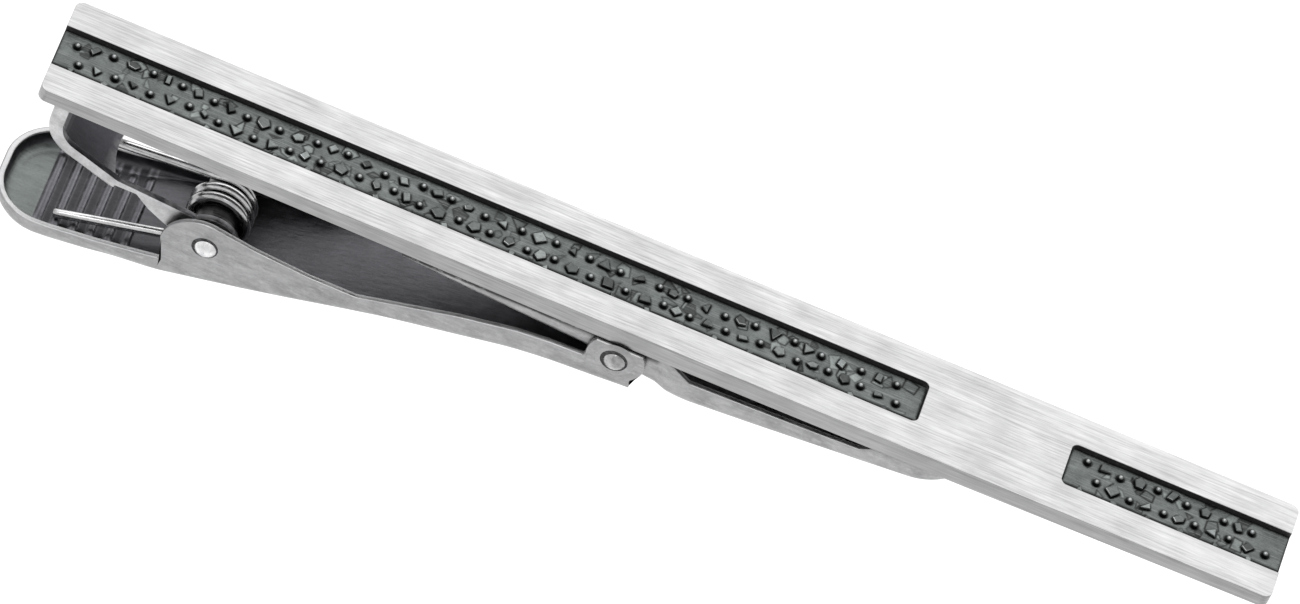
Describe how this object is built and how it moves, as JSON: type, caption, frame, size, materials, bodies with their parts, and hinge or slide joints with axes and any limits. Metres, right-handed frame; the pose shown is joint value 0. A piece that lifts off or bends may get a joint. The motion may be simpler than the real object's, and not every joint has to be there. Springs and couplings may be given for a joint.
{
  "type": "tie clip",
  "caption": "Flat metal tie bar with recessed textured inlays, gripping a tie by a sprung pivoted lever with a floating jaw behind it.",
  "frame": {"origin": "centre of the flat front face", "axes": "+X along the bar towards the mouth, +Z out of the front face, Y across the bar"},
  "size_m": [0.0584, 0.0066, 0.0094],
  "materials": {
    "brushed_bar": "brushed along the bar",
    "dark_inlay": "matte, finely scratched",
    "inlay_relief": "dark, worn bright on the high points",
    "pressed_steel": "tumbled satin with worn edges",
    "solder": "dull, wiped",
    "rivet_steel": "polished domes",
    "sleeve_steel": "dull dark oxide",
    "spring_wire": "bright drawn wire"
  },
  "bodies": {
    "bar": {"front_bar": "brushed_bar", "inlay_long": "dark_inlay", "inlay_short": "dark_inlay", "beads_long": "inlay_relief", "beads_short": "inlay_relief", "flakes_long": "inlay_relief", "flakes_short": "inlay_relief", "bracket": "pressed_steel", "bracket_solder": "solder"},
    "lever": {"lever": "pressed_steel", "lever_pin": "rivet_steel", "spring_sleeve": "sleeve_steel", "torsion_spring": "spring_wire", "jaw_rivet": "rivet_steel"},
    "jaw": {"jaw": "pressed_steel"}
  },
  "joints": [
    {"name": "lever_pivot", "type": "hinge", "parent": "bar", "child": "lever", "pos_m": [-0.0197, 0, -0.00547], "axis": [0, 1, 0], "range_deg": [0, 30], "stiffness_Nm_per_rad": 0.02, "springref_deg": -68.75, "deforming": ["torsion_spring"]},
    {"name": "jaw_pivot", "type": "hinge", "parent": "lever", "child": "jaw", "pos_m": [-0.00135, 0, -0.0019], "axis": [0, 1, 0], "range_deg": [-16, 0]}
  ],
  "couplings": [
    {"joint": "jaw_pivot", "follows": "lever_pivot", "ratio": -0.5}
  ]
}
